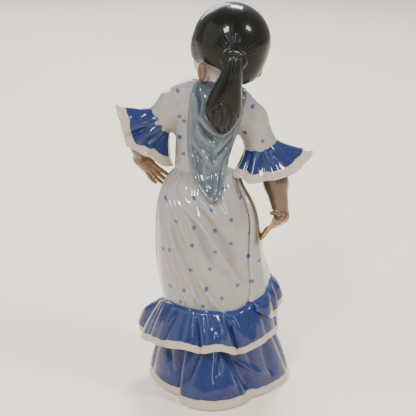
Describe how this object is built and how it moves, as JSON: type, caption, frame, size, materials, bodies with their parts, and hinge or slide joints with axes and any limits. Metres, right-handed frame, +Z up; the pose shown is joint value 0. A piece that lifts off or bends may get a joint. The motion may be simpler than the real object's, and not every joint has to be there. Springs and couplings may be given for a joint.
{
  "type": "dancer figurine",
  "caption": "Glazed porcelain figurine of a dancer with a ponytail, in a dotted dress with gathered blue flounces and a shawl",
  "frame": {"origin": "middle of the flat foot, on the table", "axes": "+Z up, the dancer faces -Y, her left arm is on the +X side"},
  "size_m": [0.1091, 0.0958, 0.23],
  "materials": {
    "white_glaze": "glossy off-white glaze with blue spots",
    "blue_glaze": "glossy cobalt glaze with a cream rim",
    "shawl_glaze": "glossy blue-grey glaze",
    "hair_glaze": "glossy dark brown glaze",
    "face_glaze": "glossy pale skin glaze",
    "arm_glaze": "glossy tan skin glaze",
    "shoe_glaze": "glossy blue glaze",
    "bisque": "unglazed foot"
  },
  "bodies": {
    "root": {"base_plate": "bisque", "petticoat": "white_glaze", "skirt_body": "white_glaze", "skirt_fold_right": "white_glaze", "lower_flounce": "blue_glaze", "upper_flounce_back": "blue_glaze", "upper_flounce_front": "blue_glaze", "shoe_left": "shoe_glaze", "shoe_right": "shoe_glaze", "bodice": "white_glaze", "shawl_back": "shawl_glaze", "shawl_front_left": "shawl_glaze", "shawl_front_right": "shawl_glaze", "shawl_knot": "shawl_glaze", "neck": "face_glaze", "head": "face_glaze", "hair_cap": "hair_glaze", "hair_tie": "hair_glaze", "ponytail": "hair_glaze", "sleeve_left": "white_glaze", "sleeve_right": "white_glaze", "cuff_left": "blue_glaze", "cuff_right": "blue_glaze", "forearm_left": "arm_glaze", "forearm_right": "arm_glaze", "hand_left": "arm_glaze", "hand_right": "arm_glaze"}
  },
  "joints": []
}
